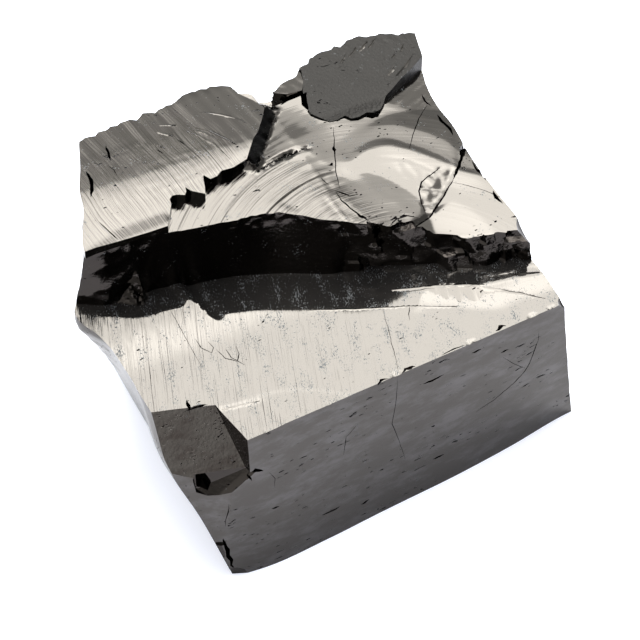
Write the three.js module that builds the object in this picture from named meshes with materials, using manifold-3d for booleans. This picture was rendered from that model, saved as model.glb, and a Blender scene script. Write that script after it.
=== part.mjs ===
// A hand-sized block of noble shungite, the glassy native carbon, in one piece.
// Every face is a fracture, so the block is carved the way it broke: a rough blank
// loses one flake after another, and each flake leaves its own gently waved scar.
//
// Millimetres, +Z up. All shapes are laid out from the block's front left foot,
// with X along the front face and Y towards the back. The last lines centre it.

import * as THREE from 'three';
import { ConvexGeometry } from 'three/addons/geometries/ConvexGeometry.js';
import { mergeVertices } from 'three/addons/utils/BufferGeometryUtils.js';
import Module from 'manifold-3d';

const wasm = await Module();
wasm.setup();

// ---------------------------------------------------------------- driving dimensions
const FRONT_LENGTH = 44;      // front face, along its foot
const FRONT_HEIGHT = 20.15;   // front face, at its left end
const LEDGE_FALL = 0.027;     // drop of the low ledge per mm to the right
const TERRACE_HEIGHT = 27;    // upper terrace, above its reference point
const TERRACE_AT = [18, 21];  // reference point of the terrace
const TERRACE_FALL = 0.10;    // drop of the terrace per mm to the right
const TERRACE_RISE = 0.10;    // rise of the terrace per mm to the back
const PLATE_THICKNESS = 1.6;  // the unbroken sheet that still lies on the terrace
const SHOULDER_HEIGHT = 17;   // where the left flank draws in towards its foot, at the front
const SHOULDER_RISE = 4;      // how much higher that is at the back
const FOOT_FLARE = 2.9;       // how far the right flank spreads at its foot

const UP = new THREE.Vector3(0, 0, 1);

// ---------------------------------------------------------------- small mathematics
const { clamp, smoothstep, lerp } = THREE.MathUtils;

// A smooth curve through the given [position, value] pairs, held flat past both ends.
function profile(pairs) {
  return (t) => {
    const last = pairs.length - 1;
    if (t <= pairs[0][0]) return pairs[0][1];
    if (t >= pairs[last][0]) return pairs[last][1];
    const i = pairs.findIndex(([at]) => at > t) - 1;
    const [from, low] = pairs[i];
    const [to, high] = pairs[i + 1];
    return lerp(low, high, smoothstep(t, from, to) * 0.5 + ((t - from) / (to - from)) * 0.5);
  };
}

// Low, rolling relief of about one unit, with waves of the given length.
function rolling(a, b, length, seed = 0) {
  const k = (2 * Math.PI) / length;
  return (
    0.5 * Math.sin(k * (a + 0.3 * b) + seed) +
    0.3 * Math.sin(k * 1.7 * (b - 0.4 * a) + 2.1 * seed + 1) +
    0.2 * Math.sin(k * 2.9 * (0.8 * a + b) + 3.7 * seed + 2)
  );
}

// A raised, rounded band of the given half-width about zero.
const band = (distance, halfWidth) => Math.exp(-((distance / halfWidth) ** 2));

// ---------------------------------------------------------------- solids
function solid(geometry) {
  geometry.deleteAttribute('normal');
  geometry.deleteAttribute('uv');
  const merged = mergeVertices(geometry, 1e-4);
  return new wasm.Manifold(
    new wasm.Mesh({
      numProp: 3,
      vertProperties: new Float32Array(merged.attributes.position.array),
      triVerts: new Uint32Array(merged.index.array),
    }),
  );
}

function geometryOf(manifold) {
  const { numProp, vertProperties, triVerts } = manifold.getMesh();
  const points = new Float32Array((vertProperties.length / numProp) * 3);
  for (let i = 0; i < points.length / 3; i++) {
    points.set(vertProperties.subarray(i * numProp, i * numProp + 3), i * 3);
  }
  const geometry = new THREE.BufferGeometry();
  geometry.setAttribute('position', new THREE.BufferAttribute(points, 3));
  geometry.setIndex(new THREE.BufferAttribute(triVerts, 1));
  geometry.computeVertexNormals();
  return geometry;
}

// A slab with one waved face. The face stands relief(x, y, z) off the plane through
// `at`, towards `facing`, and relief is a function of the block's own coordinates. The
// slab reaches outwards from it by `depth`, or inwards where depth is negative.
function slab({ at, facing, size, cells, depth, relief }) {
  const out = new THREE.Vector3(...facing).normalize();
  const along = new THREE.Vector3().crossVectors(UP, out);
  if (along.lengthSq() < 1e-6) along.set(1, 0, 0);
  along.normalize();
  const across = new THREE.Vector3().crossVectors(out, along);
  const origin = new THREE.Vector3(...at);
  const geometry = new THREE.BoxGeometry(...size, Math.abs(depth), ...cells, 1);
  geometry.translate(0, 0, depth / 2);
  const position = geometry.attributes.position;
  const point = new THREE.Vector3();
  for (let i = 0; i < position.count; i++) {
    if (Math.abs(position.getZ(i)) > Math.abs(depth) / 2) continue;
    point
      .copy(origin)
      .addScaledVector(along, position.getX(i))
      .addScaledVector(across, position.getY(i));
    position.setZ(i, relief(point.x, point.y, point.z));
  }
  geometry.applyMatrix4(new THREE.Matrix4().makeBasis(along, across, out).setPosition(origin));
  return solid(geometry);
}

// What a flake takes off the outside of the block.
const flake = (options) => slab({ depth: 30, ...options });

// An upright prism over an outline seen from above.
function prism(outline, bottom, top) {
  const shape = new THREE.Shape(outline.map(([x, y]) => new THREE.Vector2(x, y)));
  const options = { depth: top - bottom, bevelEnabled: false };
  return solid(new THREE.ExtrudeGeometry(shape, options).translate(0, 0, bottom));
}

const hull = (points) =>
  solid(new ConvexGeometry(points.map((point) => new THREE.Vector3(...point))));

// ---------------------------------------------------------------- the four flanks
// Plan positions of the flanks, as profiles along each one.
const leftShoulder = profile([
  [0, -5.5], [6, -5.0], [12, -4.6], [18, -4.3], [24, -3.9], [26, -2.8], [28, -1.6], [31, -0.5],
  [34.5, 1.4], [38, 3.1], [43, 5.4],
]);
const leftFoot = profile([[-2, -0.9], [2, -0.3], [6, 0.1], [12, 0.8], [20, 1.6], [30, 2.8], [43, 6]]);
const rightBrow = profile([
  [0, 41.0], [4, 41.4], [8, 41.6], [10, 41.9], [14, 41.9], [20, 42.3], [25, 43.4], [31, 44.2],
  [37, 46.3], [41, 47.5],
]);
const backBrow = profile([
  [0, 36.5], [4, 37.9], [9, 38.4], [14, 39.4], [18, 40.2], [22, 40.5], [24, 39.3], [26, 37.6],
  [29, 37.9], [33, 40.1], [38, 41.1], [42, 41.0], [48, 38.9],
]);
const frontBelly = profile([
  [-4, 0.2], [0, 0.8], [3, 1.3], [11, 1.4], [18, 1.2], [27, 1.05], [35, 0.6], [44, -0.2],
]);

const backFoot = profile([[-6, 37.8], [2, 38.6], [12, 40.2], [24, 40.6], [36, 41.6], [50, 40.4]]);

const flanks = [
  flake({
    at: [20, 0, 16], facing: [0, -1, 0], size: [72, 44], cells: [24, 8],
    relief: (x, y, z) => frontBelly(x) * (1 - z / FRONT_HEIGHT),
  }),
  flake({
    at: [0, 20, 16], facing: [-1, 0, 0], size: [60, 44], cells: [30, 20],
    relief: (x, y, z) => {
      const shoulder = SHOULDER_HEIGHT + SHOULDER_RISE * smoothstep(y, 5, 14);
      const drawnIn = clamp(1 - z / shoulder, 0, 1) ** 1.1;
      const bulges = 1.6 * band(z - 21, 4) * band(y - 24, 3.4) + 0.7 * band(z - 15, 4) * band(y - 7, 7);
      return bulges - lerp(leftShoulder(y), leftFoot(y), drawnIn);
    },
  }),
  flake({
    at: [FRONT_LENGTH, 20, 16], facing: [1, 0, 0], size: [60, 44], cells: [24, 14],
    relief: (x, y, z) => {
      const flare = FOOT_FLARE * Math.max(1 - z / 24, 0) ** 1.25;
      return rightBrow(y) - FRONT_LENGTH + flare * (1 - 0.8 * smoothstep(y, 12, 34));
    },
  }),
  flake({
    at: [20, 40, 16], facing: [0, 1, 0], size: [72, 44], cells: [36, 14],
    relief: (x, y, z) => lerp(backFoot(x), backBrow(x), smoothstep(z, 15, 24)) - 40,
  }),
];

// A conchoidal scar: a shallow dish struck into the block, ringed by fading ripples.
function dish({ at, facing, hollow, ripple = 0.12, spacing = 5 }) {
  const [x0, y0, z0] = at;
  return flake({
    at, facing, size: [30, 30], cells: [14, 14],
    relief: (x, y, z) => {
      const radius = Math.hypot(x - x0, y - y0, z - z0);
      return hollow * radius ** 2 - ripple * Math.cos((2 * Math.PI * radius) / spacing);
    },
  });
}

const hiddenScars = [
  dish({ at: [44.6, 40.8, 10], facing: [0.75, 0.6, -0.15], hollow: 0.012 }),
  dish({ at: [0.2, 37.4, 5], facing: [-0.75, 0.6, -0.35], hollow: 0.015 }),
  dish({ at: [16, 40.6, 20], facing: [-0.1, 1, 0.12], hollow: 0.006, ripple: 0.2, spacing: 6 }),
  dish({ at: [45.6, 26, 6], facing: [1, 0.05, -0.25], hollow: 0.008, ripple: 0.15 }),
];

// ---------------------------------------------------------------- ledge and riser
const ledgeHeight = (x) => FRONT_HEIGHT - LEDGE_FALL * x;

// Foot of the riser in plan: it swings forward from the left flank to the right one.
const riserFoot = profile([
  [-6, 24.5], [2, 23.2], [8, 22.2], [13, 21.0], [18, 18.7], [23, 15.6], [27, 13.0], [31, 10.9],
  [35, 8.0], [38, 6.9], [41, 6.5], [44, 4.6], [48, 2.5],
]);
// How far the riser leans back over its height.
const riserLean = profile([
  [-6, 1.2], [2, 0.4], [8, 0.1], [13, 0.5], [18, 1.8], [23, 1.2], [27, 0.7], [31, 1.2], [35, 2.1],
  [38, 1.6], [42, 1.5],
]);

function ledgeRelief(x, y) {
  const toRiser = riserFoot(x) - y;
  const fillet = 0.3 * Math.exp(-Math.max(toRiser, 0) / 0.6);
  const backRipple = 0.10 * band(toRiser - 3.4, 0.8) * smoothstep(x, 22, 28);
  const frontFlake = -0.22 * smoothstep(4.6 - y - 0.02 * (x - 2) ** 2, 0, 0.5) * smoothstep(x, 0.5, 1.5);
  return ledgeHeight(x) + fillet + backRipple + frontFlake + 0.06 * rolling(x, y, 16, 4);
}

function riserRelief(x, y, z) {
  const height = clamp((z - ledgeHeight(x)) / 7.5, 0, 1.3);
  const rough = smoothstep(x, 19, 27);
  const lumps = 0.55 * rolling(x * 1.2, z * 1.5, 4.2, 5) + 0.3 * rolling(x, z, 2.1, 6);
  return -(riserFoot(x) + riserLean(x) * height) + rough * lumps;
}

// A broken prow at the left end of the riser, which the flake left standing.
const prow = hull([
  [-6, 24.6, 18], [-2.4, 22.2, 18], [0.1, 20.9, 18], [2.4, 22.4, 18], [3, 27, 18], [-6, 27, 18],
  [-6, 24.2, 26], [-6, 24.0, 28.6], [-2.0, 22.9, 27.4], [0.4, 21.9, 24.4], [1.9, 22.6, 22.2],
  [0.2, 23.2, 29.0], [1.2, 27, 31], [-6, 27, 31],
]);

const notch = flake({
  at: [20, 10, 0], facing: [0, 0, 1], size: [66, 44], cells: [46, 44], relief: ledgeRelief,
}).intersect(
  flake({
    at: [20, 0, 24], facing: [0, -1, 0], size: [66, 26], cells: [70, 26], relief: riserRelief,
  }),
).subtract(prow);

// ---------------------------------------------------------------- terrace, sheet and peak
// Ripples that ring the place where the terrace flake was struck, near the riser.
const RINGS = [
  { radius: 6.4, rise: -0.30, width: 0.9 },
  { radius: 9.6, rise: 0.26, width: 0.7 },
  { radius: 12.6, rise: -0.28, width: 1.0 },
];
const STRUCK_AT = [28.2, 15.6];

function terracePlane(x, y) {
  const [x0, y0] = TERRACE_AT;
  return TERRACE_HEIGHT - TERRACE_FALL * (x - x0) + TERRACE_RISE * (y - y0);
}

function terraceRelief(x, y) {
  const [cx, cy] = STRUCK_AT;
  const radius = Math.hypot((x - cx) * 0.92, y - cy);
  const rightSide = smoothstep(x, 22, 30);
  const rings = RINGS.reduce((sum, ring) => sum + ring.rise * band(radius - ring.radius, ring.width), 0);
  // Long, low furrows fan out to the back right from the left end of the terrace.
  const slant = y - 22.4 - 0.34 * (x - 5) - 0.004 * (x - 5) ** 2;
  const furrows = 0.22 * Math.sin(slant * 1.15) * (1 - rightSide) * smoothstep(x, 4, 10);
  const valley = -0.9 * band(slant - 2.6 - 0.10 * (x - 18), 1.5) * smoothstep(x, 13, 24);
  return terracePlane(x, y) + rings * rightSide + furrows + valley * (1 - 0.6 * rightSide);
}

// The sheet's outline: a torn front edge, the left flank, and past the back.
const SHEET_OUTLINE = [
  [-9, 22.7], [-3, 22.9], [0, 22.6], [3, 22.5], [5.4, 22.5], [6.4, 23.9], [7.4, 25.3], [7.6, 26.1],
  [9.4, 26.1], [10, 26.8], [10.3, 26.1], [11.7, 25.3], [12.2, 26.3], [12.7, 27.6], [13.1, 26.8],
  [15.5, 27.4], [18.2, 27.8], [20.5, 30.4], [23.2, 33.1], [24.5, 34.8], [24.1, 36.6], [23.3, 38.4],
  [22.9, 46], [-9, 46],
];

function sheetRelief(x, y) {
  const backFall = -0.010 * Math.max(y - 30, 0) ** 2;
  const lip = -0.9 * smoothstep(24.6 - 0.43 * Math.max(-x, 0) - y, 0, 2.2);
  const arcs = 0.09 * Math.sin((Math.hypot(x - 6, y - 24) - 1) * 2.1) * smoothstep(x, 9, 14);
  return terracePlane(x, y) + PLATE_THICKNESS + backFall + lip + arcs * smoothstep(y, 28, 33);
}

// The back right peak: a shallow bowl, standing a little clear of the terrace.
const PEAK_OUTLINE = [
  [31.6, 46], [31.4, 38.8], [29.6, 36.2], [28.8, 34.2], [29.8, 31.6], [31.2, 30.7], [33.6, 30.9],
  [36, 30.2], [38.2, 31.2], [41, 33.2], [44, 35.6], [47, 39.0], [54, 44], [54, 46],
];

function peakRelief(x, y) {
  const bowl = 0.010 * ((x - 38) ** 2 + (y - 36) ** 2);
  return terracePlane(38, 34) - 0.03 * (x - 38) - 0.10 * (y - 34) + 0.55 + 0.5 * bowl;
}

// The small lump between the sheet and the peak, and the bright chip beside it.
const LUMP_OUTLINE = [
  [26.3, 46], [26.4, 38.2], [27, 36.8], [28.6, 35.9], [30.0, 36.2], [31.1, 38.6], [31.2, 46],
];
const lumpRelief = (x, y) => terracePlane(x, y) + 1.1 - 0.12 * ((x - 28.8) ** 2 + (y - 37.6) ** 2);

// Everything below one of these surfaces, within its outline if it has one.
function layer(relief, cells, outline) {
  const whole = slab({
    at: [20, 20, 0], facing: [0, 0, 1], size: [74, 60], cells, relief, depth: -20,
  });
  return outline ? whole.intersect(prism(outline, 10, 45)) : whole;
}

// ---------------------------------------------------------------- broken corners
// The front left corner has lost two flakes, one above the other.
const cornerFlakes = [
  hull([
    [1.3, 5.9, 20.0], [-6.6, 9.05, 20.45], [-6.6, 9.05, 30], [1.3, 5.9, 30],
    [2.0, -3, 12.0], [-9, -3, 9.2], [-9, -3, 30], [1.6, -3, 30],
  ]),
  hull([
    [-5.4, 3.9, 15.6], [-0.6, 0.05, 10.4], [-1.0, 0.05, 6.4], [-2.7, 0.9, 7.0], [-0.9, 0.2, 2.4],
    [-9, 1, 2], [-9, 6, 15], [-2, -4, 2], [-2, -4, 12], [-9, -4, 8],
  ]),
];

// Scooped-out scars: [centre, half-sizes, turn about the vertical].
const SCOOPS = [
  [[-0.4, -1.2, 13.3], [4.4, 3.4, 2.5], 0],
  [[42.7, -0.4, 19.8], [2.3, 2.0, 1.8], 0],
  [[43.2, 5.2, 19.9], [1.6, 1.4, 1.2], 0],
  [[44.4, 7.4, 25.2], [4.3, 4.2, 4.3], 0],
  [[6.2, 37.9, 32.2], [0.5, 1.8, 2.4], -0.4],
  [[1.7, 33.6, 31.2], [0.5, 2.2, 1.6], 0.3],
  [[27.4, 34.2, 27.8], [1.5, 0.9, 1.0], 0.5],
  [[30.0, 35.2, 28.2], [0.45, 2.6, 1.7], -0.5],
];

// Runs of small chips along the sharp edges: [from, to, number of chips, largest size].
const CHIPPED_EDGES = [
  [[2, 0, 20.1], [41, 0, 19.0], 9, 0.55],
  [[-4.9, 8, 20.2], [-4.2, 22, 20.2], 5, 0.6],
  [[41.9, 12, 23.9], [42.3, 22, 24.8], 4, 0.8],
  [[43.4, 26, 25.0], [46.6, 39, 26.2], 4, 0.9],
  [[-0.6, 0.2, 0.5], [-1.2, 0.6, 5.5], 3, 0.9],
  [[0.6, -0.6, 0], [42, 0.2, 0], 7, 0.6],
  [[6, 38.6, 31.2], [22, 39.8, 29.6], 5, 0.8],
];

function chipsAlong([from, to, count, size], edge) {
  return Array.from({ length: count }, (_, i) => {
    const scatter = Math.sin(12.9 * (i + 1) + 7.3 * edge);
    const place = from.map((start, axis) => lerp(start, to[axis], (i + 0.5 + 0.35 * scatter) / count));
    const radius = size * (0.6 + 0.4 * Math.cos(5.1 * i + edge));
    const shape = new THREE.IcosahedronGeometry(radius, 0);
    return solid(shape.scale(1.5, 1.2, 1).rotateZ(2 * i + edge).rotateX(i).translate(...place));
  });
}

const scoops = SCOOPS.map(([centre, halfSizes, turn]) =>
  solid(new THREE.IcosahedronGeometry(1, 2).scale(...halfSizes).rotateZ(turn).translate(...centre)),
);
const chips = CHIPPED_EDGES.flatMap(chipsAlong);

// ---------------------------------------------------------------- the stone
const layers = [
  layer(terraceRelief, [74, 60]),
  layer(sheetRelief, [56, 46], SHEET_OUTLINE),
  layer(peakRelief, [28, 24], PEAK_OUTLINE),
  layer(lumpRelief, [74, 60], LUMP_OUTLINE),
].reduce((below, next) => below.add(next));
const carved = [...flanks, ...hiddenScars, notch, ...cornerFlakes, ...scoops, ...chips].reduce(
  (stone, cut) => stone.subtract(cut),
  layers,
);
const foot = prism([[-20, -20], [70, -20], [70, 70], [-20, 70]], -30, 0);

const stone = new THREE.Mesh(
  geometryOf(carved.subtract(foot)),
  new THREE.MeshStandardMaterial({ color: 0x2b2929, roughness: 0.12, metalness: 0.9 }),
);
stone.name = 'shungite_stone';

// The part's origin is the middle of its foot.
const { min, max } = new THREE.Box3().setFromObject(stone);
stone.position.set(-(min.x + max.x) / 2, -(min.y + max.y) / 2, -min.z);

const part = new THREE.Group();
part.add(stone);

export default part;
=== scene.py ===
import math

import bpy
import numpy as np
from mathutils import Matrix, Vector, noise


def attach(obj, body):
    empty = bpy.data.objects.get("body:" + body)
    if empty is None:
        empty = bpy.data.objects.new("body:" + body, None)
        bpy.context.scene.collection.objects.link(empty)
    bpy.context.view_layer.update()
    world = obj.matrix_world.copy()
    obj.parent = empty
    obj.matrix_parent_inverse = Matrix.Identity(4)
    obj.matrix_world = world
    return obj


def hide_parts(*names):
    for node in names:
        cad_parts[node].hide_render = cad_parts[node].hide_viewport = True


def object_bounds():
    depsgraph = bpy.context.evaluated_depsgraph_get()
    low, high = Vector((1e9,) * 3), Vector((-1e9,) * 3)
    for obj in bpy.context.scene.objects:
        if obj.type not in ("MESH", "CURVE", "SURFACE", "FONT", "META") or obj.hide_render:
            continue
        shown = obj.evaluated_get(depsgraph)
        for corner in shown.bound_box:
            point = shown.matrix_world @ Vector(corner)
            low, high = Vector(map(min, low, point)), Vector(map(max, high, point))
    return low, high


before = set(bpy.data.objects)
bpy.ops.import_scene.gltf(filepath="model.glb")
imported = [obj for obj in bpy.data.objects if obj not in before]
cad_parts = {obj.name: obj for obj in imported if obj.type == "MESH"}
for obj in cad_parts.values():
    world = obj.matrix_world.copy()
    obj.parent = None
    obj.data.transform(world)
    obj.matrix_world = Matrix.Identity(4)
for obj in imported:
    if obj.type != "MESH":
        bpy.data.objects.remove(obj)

low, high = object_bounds()

# ----------------------------------------------------------------------------------------
# The stone: one block of noble shungite, a glassy native carbon as bright as polished
# coal. It broke out in one piece, and each flake that came away left a waved scar on it.
# It is carved in that order, in millimetres from its front left foot.

# what each face is finished in: the glassy scars, the dull peak, the joint faces of the
# vein, and the rough broken edges
LEDGE, TERRACE, SHEET, PEAK, JOINT, BREAK, CORNER = (
    bpy.data.materials.new(name)
    for name in ("ledge", "terrace", "sheet", "peak", "joint", "break", "corner")
)


def ease(value, start, end):
    """0 before start, 1 after end, and a smooth rise between them."""
    t = np.clip((value - start) / (end - start), 0, 1)
    return t * t * (3 - 2 * t)


def window(value, start, end, edge):
    """1 between start and end, and 0 further than edge outside them."""
    return ease(value, start - edge, start) * (1 - ease(value, end, end + edge))


def mix(a, b, share):
    return a + (b - a) * share


def ridge(distance, half_width):
    """A rounded ridge, one unit high, about distance 0."""
    return np.exp(-((distance / half_width) ** 2))


def profile(*points):
    """A smooth curve through (position, value) points, flat past both ends."""
    at, values = np.array(points, dtype=float).T
    slopes = np.gradient(values, at)
    slopes[0] = slopes[-1] = 0

    def value(place):
        place = np.clip(place, at[0], at[-1])
        i = np.clip(np.searchsorted(at, place, side="right") - 1, 0, len(at) - 2)
        gap = at[i + 1] - at[i]
        t = (place - at[i]) / gap
        return (
            values[i] * (1 + 2 * t) * (1 - t) ** 2
            + slopes[i] * gap * t * (1 - t) ** 2
            + values[i + 1] * t * t * (3 - 2 * t)
            + slopes[i + 1] * gap * t * t * (t - 1)
        )

    return value


def mottle(x, y, z, size, seed=0):
    """Natural unevenness of about one unit, with lumps of the given size."""
    shift = 31.7 * seed
    places = zip(x / size, y / size, (z + 0 * x) / size + shift)
    return np.array([noise.noise(Vector(place)) for place in places])


# The flanks: joint faces that the vein itself had cracked along. The left one draws in
# towards the foot, and the front one bows out a little there.

FRONT_LENGTH = 44.0
FRONT_HEIGHT = 20.15
SHOULDER_HEIGHT = 17.0
SHOULDER_RISE = 4.0
FOOT_FLARE = 2.9
BACK_AT = 40
left_shoulder = profile(
    (0, -5.5), (6, -5.0), (12, -4.6), (18, -4.3), (24, -3.9), (26, -2.8), (28, -1.6),
    (31, -0.5), (34.5, 1.4), (38, 3.1), (43, 5.4),
)
left_foot = profile((-2, -0.9), (2, -0.3), (6, 0.1), (12, 0.8), (20, 1.6), (30, 2.8), (43, 6))
right_brow = profile(
    (0, 41.0), (4, 41.4), (8, 41.6), (10, 41.9), (14, 41.9), (20, 42.3), (25, 43.4),
    (31, 44.2), (37, 46.3), (41, 47.5),
)
back_brow = profile(
    (0, 37.4), (2.5, 38.5), (4, 39.2), (9, 39.7), (14, 40.3), (18, 40.9), (22, 41.1), (24, 39.6),
    (26, 37.6), (29, 37.9), (33, 40.1), (38, 41.1), (42, 41.0), (48, 38.9),
)
back_foot = profile((-6, 37.8), (2, 38.6), (12, 40.2), (24, 40.6), (36, 41.6), (50, 40.4))
front_belly = profile(
    (-4, 0.2), (0, 0.8), (3, 1.3), (11, 1.4), (18, 1.2), (27, 1.05), (35, 0.6), (44, -0.2),
)


def front_relief(x, y, z):
    return front_belly(x) * (1 - z / FRONT_HEIGHT) + 0.02 * mottle(x, y, z, 7, 1)


def left_relief(x, y, z):
    shoulder = SHOULDER_HEIGHT + SHOULDER_RISE * ease(y, 5, 14)
    drawn_in = np.clip(1 - z / shoulder, 0, 1) ** 1.1
    bulges = 1.6 * ridge(z - 21, 4) * ridge(y - 24, 3.4)
    bulges += 0.7 * ridge(z - 15, 4) * ridge(y - 7, 7)
    rough = 0.22 * mottle(x, y, z, 2.4, 2) * ridge(z - 22, 5) * ease(y, 18, 24)
    saw = np.modf(np.abs(z * 0.55 + 0.12 * y + 8))[0]
    slivers = 0.12 * saw * ease(y, 16, 22) * window(z, 15, 27, 2)
    return bulges + rough + slivers - mix(left_shoulder(y), left_foot(y), drawn_in)


def right_relief(x, y, z):
    flare = FOOT_FLARE * np.clip(1 - z / 24, 0, None) ** 1.25
    waves = 0.10 * mottle(x, y, z, 5, 5) + 0.05 * mottle(x, y * 0.4, z, 1.6, 6)
    return right_brow(y) - FRONT_LENGTH + flare * (1 - 0.8 * ease(y, 12, 34)) + waves


def back_relief(x, y, z):
    waves = 0.12 * mottle(x, y, z, 6, 7) + 0.05 * mottle(x, y, z * 0.5, 1.8, 8)
    brow = back_brow(x) - 0.9 * ridge(x - 5.8, 0.3) + 0.7 * mottle(x, 0 * y, 0.2 * z, 1.9, 18)
    teeth = 0.45 * mottle(x, 0 * y, 0.5 * z, 0.6, 19)
    return mix(back_foot(x), brow + teeth, ease(z, 15, 24)) - BACK_AT + waves


# The upper terrace, and what the last flake left standing on it: a thin sheet at the
# left, a peak at the back right and a small lump between them.

TERRACE_HEIGHT = 27.2
TERRACE_AT = (18, 21)
TERRACE_FALL = 0.10
TERRACE_RISE = 0.10


def terrace_plane(x, y):
    return (
        TERRACE_HEIGHT - TERRACE_FALL * (x - TERRACE_AT[0]) + TERRACE_RISE * (y - TERRACE_AT[1])
    )


# The terrace flake tore off outwards from the rough end of the riser, and left ribs that
# ring two places there. Each rib starts at a radius, is so wide, and falls at a slope, all
# by the bearing in degrees from that place.
LENS_AT = (24, 14)
FAN_AT = (27, 3)
lens_start = profile(
    (-60, 2.0), (10, 2.0), (27, 2.4), (45, 3.0), (60, 3.9), (72, 5.2), (80, 6.1), (180, 7),
)
lens_end = profile(
    (-40, 7.2), (-18, 8.2), (6, 9.25), (17, 9.7), (24, 9.85), (33, 9.95), (43, 10.25),
    (51, 10.45), (60, 9.95), (67, 9.0), (75, 7.95), (84, 7.0), (180, 7.0),
)
CRESCENT_AT = (30, 16.5)
crescent_start = profile(
    (-30, 12.2), (5, 11.0), (10.4, 10.5), (16.6, 10.05), (27.9, 9.6), (38.6, 9.45),
    (49.3, 9.5), (62, 9.62), (71, 9.3), (80, 8.8), (93, 8.1), (105, 7.85), (116, 7.9), (140, 8.5),
)
crescent_width = profile(
    (5, 0.4), (16, 0.65), (28, 0.95), (49, 1.15), (65, 1.35), (80, 1.1), (100, 0.9), (140, 0.9),
)
crescent_slope = profile((4, 0), (10, 0.10), (18, 0.135), (82, 0.13), (96, 0.07), (112, 0))
band_width = profile(
    (0, 0.8), (15, 1.5), (27, 2.3), (40, 2.6), (60, 2.3), (75, 1.3), (95, 1.0), (120, 1),
)
band_slope = profile(
    (0, 0), (12, 0.04), (30, 0.042), (60, 0.042), (76, 0.06), (96, 0.06), (114, 0),
)
gulf_width = profile((20, 5), (42, 5), (48, 4), (57, 2.4), (66, 1.5), (76, 1.2), (120, 1.1))
gulf_slope = profile(
    (-10, 0), (12, 0.08), (24, 0.125), (66, 0.125), (78, 0.06), (96, 0.04), (112, 0),
)
# the shore below the sheet: how far back it lies, and how steeply the ground falls from it
shore = profile(
    (4, 25.4), (8, 25.6), (12, 25.8), (16, 26.6), (20, 28.2), (24, 29.2), (26, 29.8), (28, 30.0),
    (31, 30.3),
)
shore_slope = profile(
    (8, 0), (13, 0.05), (18, 0.10), (20, 0.19), (23.5, 0.19), (28.5, 0.07), (31.5, 0),
)
GREY_FALL = 0.075       # a fall that turns a face from the bright window to the grey wall
PEAK_AT = (36, 31)
SHEET_END_AT = (18.3, 27.9)     # where the torn right end of the sheet begins
SHEET_END_TO = (0.668, 0.744)   # and the way it runs from there
SEAM_AT = (18.5, 26.7)
SEAM_SLOPE = 0.33
SEAM_BEND = 0.022
SEAM_WIDEST = 22.8


def ramp(distance, width, soft=0.1):
    """0 up to a line and 1 beyond its far side, straight between, with soft corners."""

    def corner(t):
        return 0.5 * (t + np.sqrt(t * t + (soft / width) ** 2))

    return corner(distance / width) - corner(distance / width - 1)


def polar(x, y, centre):
    """Distance from a centre, and the bearing from it in degrees."""
    bearing = np.degrees(np.arctan2(y - centre[1], x - centre[0]))
    return np.hypot(x - centre[0], y - centre[1]), np.where(bearing < -120, bearing + 360, bearing)


def towards(bearing, slope):
    """The slope along a bearing that has this slope along the north-east."""
    return slope / np.clip(np.cos(np.radians(bearing - 45)), 0.45, 1)


def ripple(far, bearing, length, seed, stretch=0.01):
    """Fine ribs that follow the rings: one unit of noise in the radius, slow round them."""
    return np.array(
        [noise.noise(Vector((r / length, b * stretch, seed))) for r, b in zip(far, bearing)]
    )


def seam(x, y):
    """Where the torn seam along the shore is, 1 at its middle."""
    run = x - SEAM_AT[0]
    off = y - SEAM_AT[1] - SEAM_SLOPE * run + SEAM_BEND * run**2
    return ridge(off, 0.14 + 0.4 * ridge(x - SEAM_WIDEST, 1.6)) * window(x, 18.6, 26.3, 0.6)


def chance(i, j, seed):
    """A steady random number, 0 to 1, for each cell."""
    return np.modf(np.abs(np.sin(i * 127.1 + j * 311.7 + seed * 74.7)) * 4375.85)[0]


def scallops(a, b, size, seed=0, tilt=1.0, hollow=0.5):
    """Chips side by side, each tilted its own way and a little hollow, and sharp where
    they meet."""
    column, row = np.floor(a / size), np.floor(b / size)
    deepest = np.full(np.shape(a), 9.0)
    for i in (-1, 0, 1):
        for j in (-1, 0, 1):
            p, q = column + i, row + j
            off_a = a / size - p - 0.15 - 0.7 * chance(p, q, seed)
            off_b = b / size - q - 0.15 - 0.7 * chance(p, q, seed + 1)
            reach = hollow * (off_a**2 + off_b**2) + 0.5 * chance(p, q, seed + 2)
            reach += tilt * (chance(p, q, seed + 3) - 0.5) * off_a
            reach += tilt * (chance(p, q, seed + 4) - 0.5) * off_b
            deepest = np.minimum(deepest, reach)
    return deepest


def peak_plane(x, y):
    return terrace_plane(*PEAK_AT) + 0.12 - 0.08 * (x - PEAK_AT[0]) + 0.07 * (y - PEAK_AT[1])


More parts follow.
